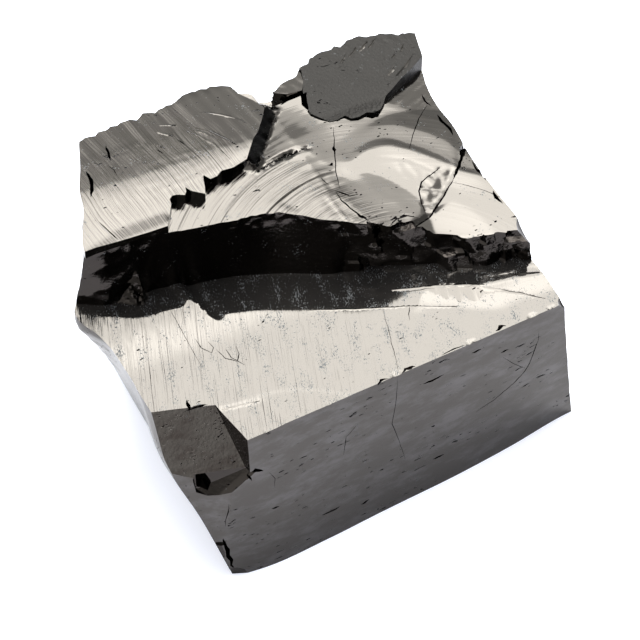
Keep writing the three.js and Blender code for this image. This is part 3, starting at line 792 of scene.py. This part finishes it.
# by the surface they lie on: the width, the depth and the points of each
CRACKS = [
    (over_terrace, UP, [
        # across the terrace
        (0.26, 0.35, (29.6, 13.2), (31, 13.5), (33, 14.1), (36, 16), (38.5, 17.8)),
        (0.4, 0.5, (38.5, 17.8), (40.3, 19.3), (41.8, 21), (43, 22.6)),
        (0.8, 0.5, (41.3, 20.2), (42.0, 21.2), (43, 22.3)),
        (0.2, 0.3, (32.9, 14.7), (33.3, 16.2), (34, 17.8), (35, 18.8), (36.5, 19.4), (38, 19.8)),
        (0.14, 0.3, (26, 21.4), (27, 23.8), (28.7, 26.8), (30.5, 30)),
        (0.45, 0.3, (28.3, 26.2), (28.7, 26.8), (29.0, 27.4)),
        (0.22, 0.3, (25.2, 21.3), (25.9, 20.4), (26.3, 19.8), (27.4, 19.7)),
        (0.2, 0.3, (25.3, 21.0), (25.1, 19.5), (25.5, 17.6), (25.8, 16.6), (26.2, 15.6),
         (26.2, 14.8)),
        (0.5, 0.3, (25.6, 17.1), (25.9, 16.5), (26.1, 15.9)),
        (0.12, 0.3, (36.3, 23.5), (38.2, 25.6), (40.5, 27.9), (43, 30)),
        (0.4, 0.3, (26.6, 24.9), (27.1, 24.8), (27.4, 25.0)),
        (0.2, 0.3, (24.9, 23.4), (25.0, 22.9), (25.1, 22.1)),
        (0.08, 0.2, (38.0, 17.6), (39.5, 16.3), (40.8, 15.0), (42.2, 13.0)),
        (0.2, 0.2, (28, 14.3), (29.2, 14.9), (30.6, 15.0), (31.8, 14.3)),
        (0.8, 0.9, (31.5, 38.8), (30.5, 36.6), (29.4, 34.4), (29.3, 33.4)),
        (0.4, 0.4, (27.0, 35.6), (28.0, 35.9), (28.9, 36.4)),
        # along its broken right edge
        (0.5, 0.7, (43.0, 27.9), (42.7, 26.6), (42.9, 25.2), (42.5, 24.0)),
        (0.4, 0.6, (42.1, 19.4), (41.8, 18.3), (42.0, 17.2), (41.7, 16.2)),
        (0.4, 0.6, (41.7, 14.6), (41.4, 13.6), (41.6, 12.6)),
        (0.35, 0.6, (43.3, 31.6), (43.0, 30.5), (43.2, 29.6)),
    ]),
    (over_sheet, UP, [
        # on the sheet
        (0.5, 0.5, (1.7, 33.7), (1.5, 32.2), (1.0, 31), (0.1, 29.6)),
        (0.35, 0.5, (5.8, 36.9), (5.4, 35.6), (4.9, 34.2)),
        (0.16, 0.3, (-0.8, 26), (-0.5, 24), (-0.3, 22.8)),
        (0.2, 0.3, (13.2, 34.4), (13.3, 33.6), (13.3, 32.9)),
        (0.15, 0.3, (4.2, 33.6), (4.5, 32.6), (4.3, 31.6)),
        (0.2, 0.3, (10.3, 33.6), (10.5, 32.7)),
    ]),
    (over_ledge, UP, [
        # on the ledge, and along its broken edges
        (0.45, 0.3, (17.4, -0.1), (18.1, 0.2), (18.9, 0.0)),
        (0.5, 0.3, (20.6, 0.0), (21.2, 0.3), (22.3, 0.1)),
        (0.5, 0.3, (32.6, 0.2), (33.3, 0.5), (34.0, 0.3)),
        (0.25, 0.3, (6.2, -0.2), (7.4, -0.1), (8.8, -0.2)),
        (0.2, 0.3, (25.6, 0.1), (27.2, 0.2), (28.6, 0.1)),
        (0.25, 0.3, (-4.6, 8.0), (-3.8, 7.5), (-2.9, 7.3)),
        (0.35, 0.4, (-2.0, 6.9), (-1.3, 6.8), (-0.6, 6.7), (0.6, 6.3)),
        (0.5, 0.5, (-0.9, 8.0), (-1.1, 7.2), (-1.5, 6.4)),
        (0.07, 0.2, (24, 9.3), (22.9, 6.5), (21.6, 3.2), (20.3, 0.2)),
        (0.06, 0.2, (3.8, 21), (3.4, 16), (2.8, 11)),
        (0.12, 0.2, (25.5, 6.2), (25.9, 7.0), (26.6, 7.9)),
        (0.12, 0.2, (4.2, 15.2), (4.1, 13.8), (4.7, 12.6), (5.3, 13.2), (5.2, 14.2)),
        (0.12, 0.2, (5.4, 12.8), (5.6, 11.2), (6.4, 10.2), (7.2, 11.0), (7.5, 12.2)),
        (0.12, 0.2, (6.3, 12.4), (6.2, 11.0), (6.9, 9.2)),
    ]),
    (over_front, FORWARD, [
        # on the front, and along its chipped left edge
        (0.16, 0.4, (-0.8, 11.6), (-0.9, 10.4), (-1.2, 9.2), (-1.3, 8.2)),
        (0.5, 1.0, (-1.6, 6.4), (-1.5, 5.4), (-1.3, 4.6), (-1.3, 3.7), (-0.9, 2.8), (-1.0, 2.0),
         (-0.6, 1.2)),
        (0.5, 0.6, (1.9, 13.9), (1.6, 14.6), (2.4, 15.2), (3.3, 14.6)),
        (0.3, 0.4, (23.2, 16.6), (24.4, 16.5), (25.8, 16.6)),
        (0.35, 0.4, (29.4, 17.9), (30.6, 17.8)),
        (0.3, 0.4, (10.0, 4.1), (11.2, 4.0), (12.3, 4.1)),
        (0.35, 0.4, (15.0, 2.8), (16.1, 2.9)),
        (0.3, 0.4, (24.4, 4.4), (25.9, 4.3)),
        (0.35, 0.4, (4.0, 8.6), (4.9, 8.4)),
        (0.35, 0.4, (33.2, 15.9), (34.2, 15.8)),
        (0.14, 0.2, (38.2, 16.5), (38.2, 15), (37.2, 12), (36.5, 11), (35, 10), (32.5, 9),
         (30, 8.5)),
        (0.07, 0.2, (33.5, 15), (35.2, 13), (36.7, 11.5)),
        (0.08, 0.2, (20, 19.5), (19.8, 16), (19.2, 12.8), (20, 10), (20.8, 6.5)),
        (0.07, 0.2, (15, 15.2), (13.5, 14), (13, 11.5)),
        (0.08, 0.2, (4, 14), (4.6, 12.8), (4.5, 11.5)),
    ]),
]
RIDGES = [
    (over_ledge, UP, [
        # the double edge of a thin flake along the ledge, and the crease before it
        (0.5, -0.05, (26.3, 11.0), (29.5, 9.4), (32.5, 7.7), (35.2, 6.3)),
        (0.4, -0.04, (27.5, 10.0), (30.5, 8.5), (33.0, 7.1), (35.4, 5.7), (38, 3.6), (40, 1.6)),
        (0.22, -0.02, (16.8, 12.9), (20, 11.2), (24, 9.2), (28.2, 7.1)),
        (0.2, -0.02, (27.5, 7.3), (29.8, 6.0), (31, 5.3)),
        (0.5, -0.12, (37.4, 6.7), (39.5, 5.9), (41.6, 5.0)),
        (0.3, -0.03, (1.6, 5.0), (3.5, 4.6), (5.6, 4.1)),
    ]),
    (over_peak, UP, [
        # streaks at the back and the right of the peak
        (0.3, -0.06, (36.6, 38.4), (37.9, 39.4)),
        (0.35, -0.07, (38.0, 38.9), (39.6, 39.9)),
        (0.35, -0.07, (39.6, 39.2), (41.4, 40.3)),
        (0.3, -0.06, (40.9, 39.3), (42.6, 40.3)),
        (0.4, -0.08, (42.4, 36.7), (43.6, 37.4)),
        (0.35, -0.07, (43.9, 37.2), (45.0, 38.2)),
        (0.25, -0.05, (41.2, 33.9), (43.2, 35.0), (45.0, 36.2)),
        (0.25, -0.05, (40.4, 34.4), (42.0, 35.4)),
    ]),
    (over_sheet, UP, [
        # curved edges across the right end of the sheet
        (0.22, -0.035, (17.5, 37.7), (19.5, 36), (20.6, 34.6), (21.3, 33.2)),
        (0.34, -0.07, (16, 35.2), (17, 33.8), (17.7, 32), (18.3, 30.3)),
        (0.24, -0.04, (15.4, 35.2), (16.3, 33.8), (17.1, 31.8)),
        (0.2, -0.03, (14.5, 35.5), (15.6, 33.5), (16.2, 31.5), (16.5, 28.6)),
        (0.3, -0.05, (12.7, 37.4), (14.3, 36.6)),
        (0.25, -0.04, (12, 36.3), (13, 35)),
        (0.22, -0.04, (10.5, 34.6), (11.2, 33.4)),
    ]),
]
for surfaces, operation in ((RIDGES, "UNION"), (CRACKS, "DIFFERENCE")):
    together = None
    for surface, out, lines in surfaces:
        for width, depth, *line in lines:
            wedge = hairline(line, surface, width, depth, out)
            if together is None:
                together = wedge
            else:
                combine(together, wedge, "UNION")
    combine(stone, together, operation)

# the flat foot
cut(stone, slab(
    "foot", (MID_LENGTH, MID_DEPTH, 0), -UP, (90, 90), 90, THICK, lambda x, y, z: 0 * x, JOINT,
))

# Into the frame: metres, and the block's own place.

MM = 0.001
FROM_LEFT, FROM_FRONT = 5.48, 1.40      # from the sides of the frame's box to that foot
SHARP_FROM = math.radians(28)
alone(stone)
offset = Vector((low[0] + FROM_LEFT * MM, low[1] + FROM_FRONT * MM, low[2]))
stone.data.transform(Matrix.Translation(offset) @ Matrix.Scale(MM, 4))
stone.name = "shungite"
bpy.ops.object.shade_smooth_by_angle(angle=SHARP_FROM)
even = stone.modifiers.new("even", "WEIGHTED_NORMAL")
even.keep_sharp = True
bpy.ops.object.modifier_apply(modifier=even.name)

# The finish. Shungite reflects like dark glass with a metallic sheen. The flake scars carry
# hackles too fine to carve, and grey and white dust lies in them.

GLASS = (0.094, 0.088, 0.083, 1)
DUST = (0.075, 0.08, 0.085, 1)
GAP = (0.001, 0.001, 0.001, 1)      # where the polish is gone


class Nodes:
    """Short ways to add nodes to one tree."""

    def __init__(self, tree):
        self.tree = tree

    def add(self, kind, **settings):
        node = self.tree.nodes.new(kind)
        for name, value in settings.items():
            setattr(node, name, value)
        return node

    def fill(self, socket, value):
        if isinstance(value, bpy.types.NodeSocket):
            self.tree.links.new(value, socket)
        else:
            socket.default_value = value

    def math(self, operation, *values):
        node = self.add("ShaderNodeMath", operation=operation)
        for socket, value in zip(node.inputs, values):
            self.fill(socket, value)
        return node.outputs[0]

    def vector(self, operation, *values):
        node = self.add("ShaderNodeVectorMath", operation=operation)
        for socket, value in zip(node.inputs, values):
            self.fill(socket, value)
        return node.outputs["Value" if operation in ("DOT_PRODUCT", "DISTANCE") else "Vector"]

    def plus(self, a, b):
        return self.math("ADD", a, b)

    def minus(self, a, b):
        return self.math("SUBTRACT", a, b)

    def times(self, a, b):
        return self.math("MULTIPLY", a, b)

    def along(self, place, direction):
        return self.vector("DOT_PRODUCT", place, direction)

    def ease(self, value, start, end, low_value=0.0, high_value=1.0):
        node = self.add("ShaderNodeMapRange", interpolation_type="SMOOTHSTEP")
        for name, filling in (
            ("Value", value), ("From Min", start), ("From Max", end),
            ("To Min", low_value), ("To Max", high_value),
        ):
            self.fill(node.inputs[name], filling)
        return node.outputs["Result"]

    def blend(self, share, a, b):
        node = self.add("ShaderNodeMix", data_type="RGBA")
        for name, filling in (("Factor", share), ("A", a), ("B", b)):
            self.fill(node.inputs[name], filling)
        return node.outputs["Result"]

    def use(self, group, **inputs):
        """What a shared effect gives from its inputs."""
        node = self.add("ShaderNodeGroup", node_tree=bpy.data.node_groups[group])
        for name, filling in inputs.items():
            self.fill(node.inputs[name], filling)
        return node.outputs[0]

    def grain(self, place, size, detail=0.0, roughness=0.5):
        node = self.add("ShaderNodeTexNoise")
        self.fill(node.inputs["Vector"], place)
        node.inputs["Scale"].default_value = 1 / size
        node.inputs["Detail"].default_value = detail
        node.inputs["Roughness"].default_value = roughness
        return node.outputs["Fac"]


def new_group(name, inputs, outputs):
    """Starts a shared effect: what adds its nodes, what it is given, and its results."""
    tree = bpy.data.node_groups.new(name, "ShaderNodeTree")
    for label, kind in inputs:
        tree.interface.new_socket(label, in_out="INPUT", socket_type=kind)
    for label, kind in outputs:
        tree.interface.new_socket(label, in_out="OUTPUT", socket_type=kind)
    kit = Nodes(tree)
    return kit, kit.add("NodeGroupInput").outputs, kit.add("NodeGroupOutput").inputs


# hackles: fine ribs along one direction, crossed by none
kit, given, result = new_group(
    "hackles",
    [("Across", "NodeSocketFloat"), ("Along", "NodeSocketFloat"), ("Width", "NodeSocketFloat")],
    [("Height", "NodeSocketFloat")],
)
place = kit.add("ShaderNodeCombineXYZ")
kit.fill(place.inputs["X"], kit.math("DIVIDE", given["Across"], given["Width"]))
kit.fill(place.inputs["Y"], given["Along"])
coarse = kit.grain(place.outputs[0], 2.4, 1.0)
fine = kit.grain(place.outputs[0], 1.0, 2.0, 0.6)
kit.fill(result["Height"], kit.plus(kit.times(coarse, 1.2), kit.times(fine, 0.7)))

# dust: where fine crumbs lie, in drifts, and sparser between them
kit, given, result = new_group(
    "dust",
    [("Place", "NodeSocketVector"), ("Size", "NodeSocketFloat"), ("Cover", "NodeSocketFloat")],
    [("Mask", "NodeSocketFloat")],
)
small = kit.vector("SCALE", given["Place"])
kit.fill(small.node.inputs["Scale"], kit.math("DIVIDE", 1.0, given["Size"]))
drift = kit.grain(small, 9.0, 2.0, 0.6)
crumbs = kit.grain(small, 1.0, 3.0, 0.75)
limit = kit.minus(1.02, kit.plus(given["Cover"], kit.times(drift, 0.55)))
kit.fill(result["Mask"], kit.ease(crumbs, limit, kit.plus(limit, 0.07)))

# pits: where the polish is chipped off in specks and short dashes
kit, given, result = new_group(
    "pits",
    [("Place", "NodeSocketVector"), ("Cover", "NodeSocketFloat")],
    [("Mask", "NodeSocketFloat")],
)
specks = kit.grain(kit.vector("MULTIPLY", given["Place"], (0.6, 1.3, 1.3)), 0.45, 1.0)
where = kit.grain(given["Place"], 4.0, 1.0)
limit = kit.minus(1.05, kit.plus(given["Cover"], kit.times(where, 0.5)))
kit.fill(result["Mask"], kit.ease(specks, limit, kit.plus(limit, 0.05)))


def mineral(
    material, roughness, hackled, dusty, dust_size, pitted, torn=None, clean=GLASS, haze=0.0,
    drift=None, pit_shape=(1, 1, 1), smudged=None,
):
    """The finish of one kind of face. hackled gives the height of its ribs, drift where the
    dust looks up its pattern, and torn how much of the polish is lost, all from the place in
    millimetres. Faint clouds of the smudged colour lie over the clean one."""
    material.use_nodes = True
    kit = Nodes(material.node_tree)
    shader = material.node_tree.nodes["Principled BSDF"]
    measure = kit.add("ShaderNodeMapping")
    kit.fill(measure.inputs["Vector"], kit.add("ShaderNodeTexCoord").outputs["Object"])
    measure.inputs["Scale"].default_value = (1 / MM, 1 / MM, 1 / MM)
    measure.inputs["Location"].default_value = -offset / MM
    place = measure.outputs["Vector"]
    dust_place = drift(kit, place) if drift else place
    mask = kit.use("dust", Place=dust_place, Size=dust_size, Cover=dusty)
    lost = kit.use("pits", Place=kit.vector("MULTIPLY", place, pit_shape), Cover=pitted)
    if torn:
        lost = kit.math("MAXIMUM", lost, torn(kit, place))
    bump = kit.add("ShaderNodeBump")
    bump.inputs["Distance"].default_value = MM
    kit.fill(bump.inputs["Height"], kit.minus(hackled(kit, place), kit.times(lost, 0.05)))
    kit.fill(shader.inputs["Normal"], bump.outputs["Normal"])
    kit.fill(shader.inputs["Metallic"], kit.ease(mask, 0, 1, 1.0 - haze, 0.45))
    dull = kit.math("MAXIMUM", mask, lost)
    kit.fill(shader.inputs["Roughness"], kit.ease(dull, 0, 1, roughness, 0.5))
    paint = clean
    if smudged:
        cloud = kit.grain(kit.vector("MULTIPLY", place, (0.45, 1.0, 1.3)), 2.2, 5.0, 0.7)
        paint = kit.blend(kit.ease(cloud, 0.42, 0.7), clean, smudged)
    paint = kit.blend(mask, paint, DUST)
    kit.fill(shader.inputs["Base Color"], kit.blend(lost, paint, GAP))


def ribs(kit, across, along, width, height):
    return kit.times(kit.use("hackles", Across=across, Along=along, Width=width), height)


STRIAE_ACROSS = (0.91, -0.41, 0)    # they lean a little to the right of straight back


def ledge_hackles(kit, place):
    # the striae die out to the right
    across = kit.along(place, STRIAE_ACROSS)
    along = kit.along(place, (0.04, 0.09, 0))
    fade = kit.ease(kit.along(place, (1, 0, 0)), 12, 30, 1.0, 0.12)
    return kit.times(ribs(kit, across, along, 0.14, 0.035), fade)


def ledge_drift(kit, place):
    # its dust is drawn out along the striae
    drawn = kit.add("ShaderNodeCombineXYZ")
    kit.fill(drawn.inputs["X"], kit.along(place, STRIAE_ACROSS))
    kit.fill(drawn.inputs["Y"], kit.along(place, (0.16, 0.36, 0)))
    return drawn.outputs[0]


def sheet_hackles(kit, place):
    # they run straight back, and die out at the back and at the right end
    swing = kit.times(kit.grain(place, 6.0), 0.8)
    across = kit.plus(kit.along(place, (1, 0.02, 0)), swing)
    along = kit.along(place, (0, 0.14, 0))
    fade = kit.ease(kit.along(place, (1, 0, 0)), 15, 19, 1.0, 0.15)
    back = kit.along(place, (0, 1, 0))
    fade = kit.times(fade, kit.ease(back, 34.5, 36.5, 1.0, 0.35))
    fade = kit.times(fade, kit.ease(back, 23, 29, 0.35, 1.0))
    return kit.times(ribs(kit, across, along, 0.12, 0.045), fade)


def fan_hackles(kit, place):
    # they ring the place the flake tore out from, and fade to the right of it
    flat = kit.vector("MULTIPLY", place, (1, 1, 0))
    far = kit.vector("DISTANCE", flat, (*FAN_AT, 0))
    split = kit.add("ShaderNodeSeparateXYZ")
    kit.fill(split.inputs[0], kit.vector("SUBTRACT", flat, (*FAN_AT, 0)))
    bearing = kit.math("ARCTAN2", split.outputs["Y"], split.outputs["X"])
    fade = kit.ease(kit.along(place, (1, 0.5, 0)), 34, 38, 1.0, 0.1)
    return kit.times(ribs(kit, far, kit.times(bearing, 1.5), 0.2, 0.06), fade)


def broken_edge(kit, x, y):
    # the slope that the right end of the sheet broke off along
    from_x, from_y = kit.minus(x, SHEET_END_AT[0]), kit.minus(y, SHEET_END_AT[1])
    out = kit.minus(kit.times(from_x, SHEET_END_TO[1]), kit.times(from_y, SHEET_END_TO[0]))
    along = kit.plus(kit.times(from_x, SHEET_END_TO[0]), kit.times(from_y, SHEET_END_TO[1]))
    reach = kit.times(kit.ease(along, -0.5, 0.5), kit.ease(along, 10.5, 9.5))
    return kit.times(kit.times(reach, kit.ease(out, 1.5, 0.9)), 1.35)


def torn_seam(kit, place):
    split = kit.add("ShaderNodeSeparateXYZ")
    kit.fill(split.inputs[0], place)
    x, y = split.outputs["X"], split.outputs["Y"]
    run = kit.minus(x, SEAM_AT[0])
    rise = kit.times(run, kit.minus(SEAM_SLOPE, kit.times(run, SEAM_BEND)))
    off = kit.math("ABSOLUTE", kit.minus(kit.minus(y, SEAM_AT[1]), rise))
    thick = kit.ease(kit.math("ABSOLUTE", kit.minus(x, SEAM_WIDEST)), 0.3, 2.6, 0.55, 0.22)
    along = kit.times(kit.ease(x, 18.3, 19.0), kit.ease(x, 26.4, 25.8))
    near = kit.times(kit.ease(kit.math("DIVIDE", off, thick), 1.5, 0.2), along)
    near = kit.math("MAXIMUM", near, broken_edge(kit, x, y))
    ragged = kit.plus(kit.times(near, 0.5), kit.grain(place, 0.3, 2.0, 0.7))
    return kit.ease(ragged, 0.93, 1.0)


def grit(size, height):
    def hackled(kit, place):
        return kit.times(kit.grain(place, size, 3.0, 0.6), height)

    return hackled


mineral(
    LEDGE, 0.08, ledge_hackles, dusty=0.15, dust_size=0.14, pitted=0.0, haze=0.11,
    drift=ledge_drift,
)
mineral(TERRACE, 0.08, fan_hackles, dusty=0.08, dust_size=0.3, pitted=0.04, torn=torn_seam)
mineral(SHEET, 0.09, sheet_hackles, dusty=0.06, dust_size=0.3, pitted=0.04)
mineral(
    PEAK, 0.45, grit(0.35, 0.05), dusty=0.06, dust_size=0.35, pitted=0.04,
    clean=(0.026, 0.025, 0.0245, 1),
)
mineral(
    JOINT, 0.16, grit(0.9, 0.01), dusty=0.03, dust_size=0.3, pitted=0.07,
    clean=(0.067, 0.062, 0.058, 1), smudged=(0.094, 0.089, 0.088, 1), pit_shape=(0.6, 1.6, 1.6),
)
mineral(
    BREAK, 0.12, grit(0.5, 0.04), dusty=0.05, dust_size=0.25, pitted=0.0,
    clean=(0.035, 0.031, 0.029, 1),
)
mineral(
    CORNER, 0.2, grit(0.35, 0.02), dusty=0.03, dust_size=0.3, pitted=0.10,
    clean=(0.138, 0.127, 0.122, 1), smudged=(0.095, 0.082, 0.078, 1), pit_shape=(2, 2, 2),
)
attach(stone, "root")
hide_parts("shungite_stone")

# ----------------------------------------------------------------------------------------
# The table: one wide sheet of plain white paper, laid flat, with no edge in sight. The
# stone stands on it.

PAPER_SIDE = 6
bpy.ops.mesh.primitive_plane_add(size=PAPER_SIDE)
table = bpy.context.object
table.name = "table"
paper = bpy.data.materials.new("paper")
paper.use_nodes = True
shader = paper.node_tree.nodes["Principled BSDF"]
shader.inputs["Base Color"].default_value = (0.84, 0.85, 0.90, 1)
shader.inputs["Roughness"].default_value = 0.9
shader.inputs["Specular IOR Level"].default_value = 0.0
# it glows a little to the camera alone, as white as the sweep behind it
seen = paper.node_tree.nodes.new("ShaderNodeLightPath")
shader.inputs["Emission Color"].default_value = (0.30, 0.31, 0.35, 1)
paper.node_tree.links.new(seen.outputs["Is Camera Ray"], shader.inputs["Emission Strength"])
table.data.materials.append(paper)

# ----------------------------------------------------------------------------------------
# The room: a grey tent with one large soft window above the back of the table, and a
# ceiling lamp that lights the table alone.

WINDOW_AZIMUTH = math.radians(40)
WINDOW_ELEVATION = math.radians(57)
window_middle = Vector((
    math.sin(WINDOW_AZIMUTH) * math.cos(WINDOW_ELEVATION),
    math.cos(WINDOW_AZIMUTH) * math.cos(WINDOW_ELEVATION),
    math.sin(WINDOW_ELEVATION),
))
window_right = Vector((math.cos(WINDOW_AZIMUTH), -math.sin(WINDOW_AZIMUTH), 0))
window_up = window_right.cross(window_middle)
room = bpy.data.worlds.new("tent")
bpy.context.scene.world = room
room.use_nodes = True
background = room.node_tree.nodes["Background"]
tent = Nodes(room.node_tree)
away = tent.add("ShaderNodeTexCoord").outputs["Generated"]
across = tent.along(away, window_right)
upward = tent.along(away, window_up)
facing = tent.ease(tent.along(away, window_middle), 0.0, 0.3)
# the window, brightest in the middle, and the paler cloth below it
glow = tent.times(tent.ease(across, -0.34, -0.25), tent.ease(across, 0.31, 0.22))
glow = tent.times(glow, tent.ease(upward, 0.56, 0.46))
glow = tent.times(glow, facing)
aside = tent.math("POWER", tent.minus(across, 0.06), 2.0)
off_middle = tent.math("SQRT", tent.plus(aside, tent.math("POWER", upward, 2.0)))
core = tent.ease(off_middle, 0.20, 0.07, 0.0, 3.5)
cloth = tent.ease(upward, -0.425, -0.40)
lit = tent.plus(
    tent.ease(upward, -0.30, -0.255, 0, 3.8), tent.ease(upward, -0.42, -0.30, 3.2, 4.1)
)
lit = tent.times(glow, tent.times(cloth, tent.plus(core, lit)))
cover = tent.times(glow, cloth)
wall = tent.plus(0.8, tent.times(tent.ease(upward, -0.60, -0.46, 0, 0.65), facing))
# it is darker in front of the table, and darkest at the right there
front = tent.ease(tent.along(away, FORWARD), 0.1, 0.5)
dark = tent.ease(tent.along(away, (1.0, 0.0, 0.0)), -0.05, 0.25, 0.3, 0.86)
wall = tent.times(wall, tent.minus(1.0, tent.times(front, dark)))
wall = tent.times(wall, tent.ease(across, 0.33, 0.5, 1.0, 0.3))
shade = tent.times(wall, tent.minus(1.0, cover))
tent.fill(background.inputs["Strength"], tent.plus(lit, shade))
background.inputs["Color"].default_value = (0.99, 0.985, 0.935, 1)

lamp = bpy.data.lights.new("ceiling", "SUN")
lamp.energy = 2.0
lamp.angle = math.radians(80)
lamp.color = (0.84, 0.88, 1.0)
ceiling = bpy.data.objects.new("ceiling", lamp)
ceiling.visible_glossy = False
bpy.context.collection.objects.link(ceiling)

# ----------------------------------------------------------------------------------------
# The camera: a long lens, looking down on the stone from its front left corner.

LOOK_AT = offset + Vector((27.102, 27.267, 0)) * MM
TURN = math.radians(-31.394)
LIFT = math.radians(46)
DISTANCE = 333.9 * MM
FOCAL_LENGTH = 160.99
back = Vector((
    math.sin(TURN) * math.cos(LIFT), -math.cos(TURN) * math.cos(LIFT), math.sin(LIFT)
))
lens = bpy.data.cameras.new("camera")
lens.lens = FOCAL_LENGTH
lens.sensor_width = 36
camera = bpy.data.objects.new("camera", lens)
bpy.context.collection.objects.link(camera)
camera.location = LOOK_AT + back * DISTANCE
camera.rotation_euler = back.to_track_quat("Z", "Y").to_euler()
bpy.context.scene.camera = camera
bpy.context.scene.view_settings.view_transform = "Standard"
